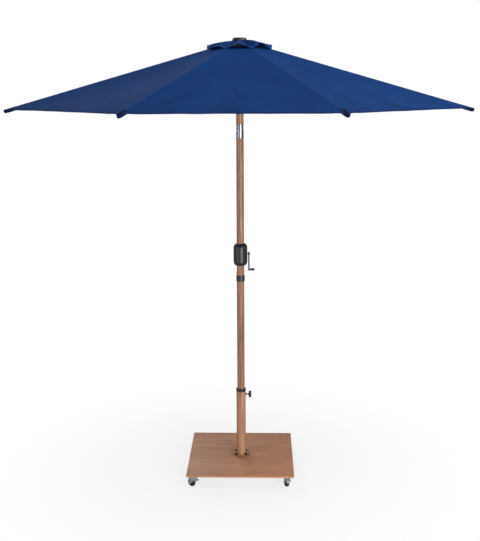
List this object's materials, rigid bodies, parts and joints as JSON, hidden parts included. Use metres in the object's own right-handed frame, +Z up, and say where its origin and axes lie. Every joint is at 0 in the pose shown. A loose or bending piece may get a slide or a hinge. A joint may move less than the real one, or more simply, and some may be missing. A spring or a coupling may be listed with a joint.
{
  "type": "patio umbrella",
  "caption": "Eight-sided market umbrella with crank lift, push-button tilt and a square wheeled base; the ribs and struts fold.",
  "frame": {"origin": "on the floor, under the axis of the pole and the centre of the base plate", "axes": "+Z up along the pole, -Y towards the front, +X towards the crank handle"},
  "size_m": [2.4754, 2.4754, 2.578],
  "materials": {
    "wood_grain_steel": "wood-grain transfer print over steel, satin",
    "black_plastic": "moulded nylon, satin",
    "black_oxide": "blackened steel fasteners",
    "zinc": "zinc plated steel, semi-bright",
    "chrome_joint": "polished zinc die casting",
    "grey_paint": "dark grey powder coat",
    "rib_paint": "black powder coat",
    "wheel_plastic": "polyurethane tread on a nylon core",
    "white_plastic": "nylon",
    "cord": "braided polyester",
    "canopy_fabric": "navy polyester weave, matt with a soft sheen"
  },
  "bodies": {
    "base": {"base_plate": "wood_grain_steel", "base_tube": "wood_grain_steel", "flange_bolts": "black_oxide", "caster_mounts": "zinc", "caster_screws": "zinc"},
    "bushing": {"tube_bushing": "black_plastic"},
    "clamp_screw": {"clamp_screw": "zinc"},
    "clamp_knob": {"clamp_knob": "black_plastic"},
    "caster_1": {"caster_fork_1": "zinc"},
    "wheel_1": {"caster_wheel_1": "wheel_plastic"},
    "caster_2": {"caster_fork_2": "zinc"},
    "wheel_2": {"caster_wheel_2": "wheel_plastic"},
    "caster_3": {"caster_fork_3": "zinc"},
    "wheel_3": {"caster_wheel_3": "wheel_plastic"},
    "caster_4": {"caster_fork_4": "zinc"},
    "wheel_4": {"caster_wheel_4": "wheel_plastic"},
    "brake_1": {"caster_brake_1": "grey_paint"},
    "brake_2": {"caster_brake_2": "grey_paint"},
    "mast": {"lower_pole": "wood_grain_steel", "pole_collar": "black_plastic", "pole_spigot": "zinc", "mid_pole": "wood_grain_steel", "housing_front": "black_plastic", "housing_back": "black_plastic", "housing_screws": "zinc", "tilt_socket": "chrome_joint", "tilt_pin": "chrome_joint", "lift_cord_lower": "cord"},
    "snap_button": {"snap_button": "zinc"},
    "tilt_button": {"tilt_button": "chrome_joint"},
    "crank": {"crank_spool": "white_plastic", "crank_arm": "grey_paint"},
    "crank_grip": {"crank_grip": "black_plastic"},
    "head": {"tilt_knuckle": "chrome_joint", "upper_pole": "wood_grain_steel", "crown_hub": "black_plastic", "crown_pins": "zinc", "finial": "black_plastic", "canopy": "canopy_fabric", "lift_cord_upper": "cord", "lift_cord_outer": "cord"},
    "pulley": {"cord_pulley": "white_plastic"},
    "runner": {"runner": "black_plastic", "runner_pins": "zinc"},
    "rib_1": {"rib_1": "rib_paint"},
    "strut_1": {"strut_1": "rib_paint"},
    "rib_2": {"rib_2": "rib_paint"},
    "strut_2": {"strut_2": "rib_paint"},
    "rib_3": {"rib_3": "rib_paint"},
    "strut_3": {"strut_3": "rib_paint"},
    "rib_4": {"rib_4": "rib_paint"},
    "strut_4": {"strut_4": "rib_paint"},
    "rib_5": {"rib_5": "rib_paint"},
    "strut_5": {"strut_5": "rib_paint"},
    "rib_6": {"rib_6": "rib_paint"},
    "strut_6": {"strut_6": "rib_paint"},
    "rib_7": {"rib_7": "rib_paint"},
    "strut_7": {"strut_7": "rib_paint"},
    "rib_8": {"rib_8": "rib_paint"},
    "strut_8": {"strut_8": "rib_paint"}
  },
  "joints": [
    {"name": "mast_turn", "type": "hinge", "parent": "base", "child": "bushing", "pos_m": [0, 0, 0.46], "axis": [0, 0, 1], "continuous": true},
    {"name": "mast_lift", "type": "slide", "parent": "bushing", "child": "mast", "axis": [0, 0, 1], "range_m": [0, 0.36]},
    {"name": "clamp_screw_slide", "type": "slide", "parent": "base", "child": "clamp_screw", "axis": [1, 0, 0], "range_m": [0, 0.00625]},
    {"name": "clamp_knob_turn", "type": "hinge", "parent": "clamp_screw", "child": "clamp_knob", "pos_m": [0.05, 0, 0.45], "axis": [1, 0, 0], "range_deg": [0, 1800]},
    {"name": "caster_1_swivel", "type": "hinge", "parent": "base", "child": "caster_1", "pos_m": [-0.27, -0.27, 0.058], "axis": [0, 0, 1], "continuous": true},
    {"name": "wheel_1_roll", "type": "hinge", "parent": "caster_1", "child": "wheel_1", "pos_m": [-0.2799, -0.2601, 0.025], "axis": [-0.7071, -0.7071, 0], "continuous": true},
    {"name": "brake_1_pedal", "type": "hinge", "parent": "caster_1", "child": "brake_1", "pos_m": [-0.26116, -0.27884, 0.047], "axis": [0.7071, 0.7071, 0], "range_deg": [0, 14]},
    {"name": "caster_2_swivel", "type": "hinge", "parent": "base", "child": "caster_2", "pos_m": [0.27, -0.27, 0.058], "axis": [0, 0, 1], "continuous": true},
    {"name": "wheel_2_roll", "type": "hinge", "parent": "caster_2", "child": "wheel_2", "pos_m": [0.26638, -0.25648, 0.025], "axis": [-0.9659, -0.2588, 0], "continuous": true},
    {"name": "brake_2_pedal", "type": "hinge", "parent": "caster_2", "child": "brake_2", "pos_m": [0.27324, -0.28207, 0.047], "axis": [0.9659, 0.2588, 0], "range_deg": [0, 14]},
    {"name": "caster_3_swivel", "type": "hinge", "parent": "base", "child": "caster_3", "pos_m": [0.27, 0.27, 0.058], "axis": [0, 0, 1], "continuous": true},
    {"name": "wheel_3_roll", "type": "hinge", "parent": "caster_3", "child": "wheel_3", "pos_m": [0.28316, 0.27479, 0.025], "axis": [-0.342, 0.9397, 0], "continuous": true},
    {"name": "caster_4_swivel", "type": "hinge", "parent": "base", "child": "caster_4", "pos_m": [-0.27, 0.27, 0.058], "axis": [0, 0, 1], "continuous": true},
    {"name": "wheel_4_roll", "type": "hinge", "parent": "caster_4", "child": "wheel_4", "pos_m": [-0.263, 0.28212, 0.025], "axis": [-0.866, 0.5, 0], "continuous": true},
    {"name": "snap_button_press", "type": "slide", "parent": "mast", "child": "snap_button", "axis": [1, 0, 0], "range_m": [0, 0.0035], "stiffness_N_per_m": 800, "springref_m": -0.003},
    {"name": "tilt_button_press", "type": "slide", "parent": "mast", "child": "tilt_button", "axis": [0, 1, 0], "range_m": [0, 0.003], "stiffness_N_per_m": 1200, "springref_m": -0.003},
    {"name": "canopy_tilt", "type": "hinge", "parent": "mast", "child": "head", "pos_m": [0, 0, 2.042], "axis": [0, -1, 0], "range_deg": [0, 30]},
    {"name": "canopy_lift", "type": "slide", "parent": "head", "child": "runner", "axis": [0, 0, 1], "range_m": [-0.74703, 0], "deforming": ["canopy", "lift_cord_outer"]},
    {"name": "crank_turn", "type": "hinge", "parent": "mast", "child": "crank", "pos_m": [0.03, 0, 1.306], "axis": [1, 0, 0], "range_deg": [-4321, 1]},
    {"name": "crank_grip_spin", "type": "hinge", "parent": "crank", "child": "crank_grip", "pos_m": [0.068, 0, 1.211], "axis": [1, 0, 0], "continuous": true},
    {"name": "pulley_turn", "type": "hinge", "parent": "head", "child": "pulley", "pos_m": [0.016, 0, 2.488], "axis": [0, 1, 0], "range_deg": [-4506.41, 1]},
    {"name": "rib_1_fold", "type": "hinge", "parent": "head", "child": "rib_1", "pos_m": [0.03234, 0.01339, 2.544], "axis": [-0.3827, 0.9239, 0], "range_deg": [-0.1, 70.1]},
    {"name": "strut_1_fold", "type": "hinge", "parent": "rib_1", "child": "strut_1", "pos_m": [0.52532, 0.21759, 2.37333], "axis": [0.3827, -0.9239, 0], "range_deg": [-0.1, 135.85]},
    {"name": "rib_2_fold", "type": "hinge", "parent": "head", "child": "rib_2", "pos_m": [0.01339, 0.03234, 2.544], "axis": [-0.9239, 0.3827, 0], "range_deg": [-0.1, 70.1]},
    {"name": "strut_2_fold", "type": "hinge", "parent": "rib_2", "child": "strut_2", "pos_m": [0.21759, 0.52532, 2.37333], "axis": [0.9239, -0.3827, 0], "range_deg": [-0.1, 135.85]},
    {"name": "rib_3_fold", "type": "hinge", "parent": "head", "child": "rib_3", "pos_m": [-0.01339, 0.03234, 2.544], "axis": [-0.9239, -0.3827, 0], "range_deg": [-0.1, 70.1]},
    {"name": "strut_3_fold", "type": "hinge", "parent": "rib_3", "child": "strut_3", "pos_m": [-0.21759, 0.52532, 2.37333], "axis": [0.9239, 0.3827, 0], "range_deg": [-0.1, 135.85]},
    {"name": "rib_4_fold", "type": "hinge", "parent": "head", "child": "rib_4", "pos_m": [-0.03234, 0.01339, 2.544], "axis": [-0.3827, -0.9239, 0], "range_deg": [-0.1, 70.1]},
    {"name": "strut_4_fold", "type": "hinge", "parent": "rib_4", "child": "strut_4", "pos_m": [-0.52532, 0.21759, 2.37333], "axis": [0.3827, 0.9239, 0], "range_deg": [-0.1, 135.85]},
    {"name": "rib_5_fold", "type": "hinge", "parent": "head", "child": "rib_5", "pos_m": [-0.03234, -0.01339, 2.544], "axis": [0.3827, -0.9239, 0], "range_deg": [-0.1, 70.1]},
    {"name": "strut_5_fold", "type": "hinge", "parent": "rib_5", "child": "strut_5", "pos_m": [-0.52532, -0.21759, 2.37333], "axis": [-0.3827, 0.9239, 0], "range_deg": [-0.1, 135.85]},
    {"name": "rib_6_fold", "type": "hinge", "parent": "head", "child": "rib_6", "pos_m": [-0.01339, -0.03234, 2.544], "axis": [0.9239, -0.3827, 0], "range_deg": [-0.1, 70.1]},
    {"name": "strut_6_fold", "type": "hinge", "parent": "rib_6", "child": "strut_6", "pos_m": [-0.21759, -0.52532, 2.37333], "axis": [-0.9239, 0.3827, 0], "range_deg": [-0.1, 135.85]},
    {"name": "rib_7_fold", "type": "hinge", "parent": "head", "child": "rib_7", "pos_m": [0.01339, -0.03234, 2.544], "axis": [0.9239, 0.3827, 0], "range_deg": [-0.1, 70.1]},
    {"name": "strut_7_fold", "type": "hinge", "parent": "rib_7", "child": "strut_7", "pos_m": [0.21759, -0.52532, 2.37333], "axis": [-0.9239, -0.3827, 0], "range_deg": [-0.1, 135.85]},
    {"name": "rib_8_fold", "type": "hinge", "parent": "head", "child": "rib_8", "pos_m": [0.03234, -0.01339, 2.544], "axis": [0.3827, 0.9239, 0], "range_deg": [-0.1, 70.1]},
    {"name": "strut_8_fold", "type": "hinge", "parent": "rib_8", "child": "strut_8", "pos_m": [0.52532, -0.21759, 2.37333], "axis": [-0.3827, -0.9239, 0], "range_deg": [-0.1, 135.85]}
  ],
  "couplings": [
    {"joint": "clamp_screw_slide", "follows": "clamp_knob_turn", "m_per_rad": 0.00019894},
    {"joint": "crank_turn", "follows": "canopy_lift", "rad_per_m": 100.93},
    {"joint": "pulley_turn", "follows": "canopy_lift", "rad_per_m": 105.26},
    {"joint": "rib_1_fold", "follows": "canopy_lift", "rad_per_m": -1.6355},
    {"joint": "strut_1_fold", "follows": "canopy_lift", "rad_per_m": -3.1717},
    {"joint": "rib_2_fold", "follows": "canopy_lift", "rad_per_m": -1.6355},
    {"joint": "strut_2_fold", "follows": "canopy_lift", "rad_per_m": -3.1717},
    {"joint": "rib_3_fold", "follows": "canopy_lift", "rad_per_m": -1.6355},
    {"joint": "strut_3_fold", "follows": "canopy_lift", "rad_per_m": -3.1717},
    {"joint": "rib_4_fold", "follows": "canopy_lift", "rad_per_m": -1.6355},
    {"joint": "strut_4_fold", "follows": "canopy_lift", "rad_per_m": -3.1717},
    {"joint": "rib_5_fold", "follows": "canopy_lift", "rad_per_m": -1.6355},
    {"joint": "strut_5_fold", "follows": "canopy_lift", "rad_per_m": -3.1717},
    {"joint": "rib_6_fold", "follows": "canopy_lift", "rad_per_m": -1.6355},
    {"joint": "strut_6_fold", "follows": "canopy_lift", "rad_per_m": -3.1717},
    {"joint": "rib_7_fold", "follows": "canopy_lift", "rad_per_m": -1.6355},
    {"joint": "strut_7_fold", "follows": "canopy_lift", "rad_per_m": -3.1717},
    {"joint": "rib_8_fold", "follows": "canopy_lift", "rad_per_m": -1.6355},
    {"joint": "strut_8_fold", "follows": "canopy_lift", "rad_per_m": -3.1717}
  ]
}
